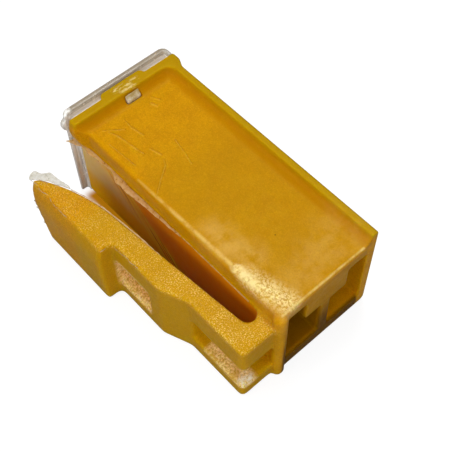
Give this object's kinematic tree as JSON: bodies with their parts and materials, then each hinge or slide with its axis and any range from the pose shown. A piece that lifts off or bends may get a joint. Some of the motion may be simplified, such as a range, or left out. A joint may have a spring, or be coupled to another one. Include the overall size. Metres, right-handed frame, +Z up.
{
  "type": "cartridge fuse link",
  "caption": "Plug-in cartridge fuse link: sunken tray on top, elastic lock arm with thumb pad beside it, terminal mouths at one end and a clear window cap at the other.",
  "frame": {"origin": "middle of the whole object's outline, on its underside", "axes": "+Z up out of the tray side, +Y from the terminal mouths to the window cap, +X from the lock arm to the plain side"},
  "size_m": [0.0228, 0.0354, 0.0142],
  "materials": {
    "yellow_plastic": "satin, slightly translucent",
    "clear_plastic": "clear gloss",
    "copper_alloy": "bare stamped strip",
    "tin": "dull"
  },
  "bodies": {
    "root": {"housing": "yellow_plastic", "window_cap": "clear_plastic", "fuse_element": "copper_alloy", "tin_pellet": "tin"}
  },
  "joints": []
}
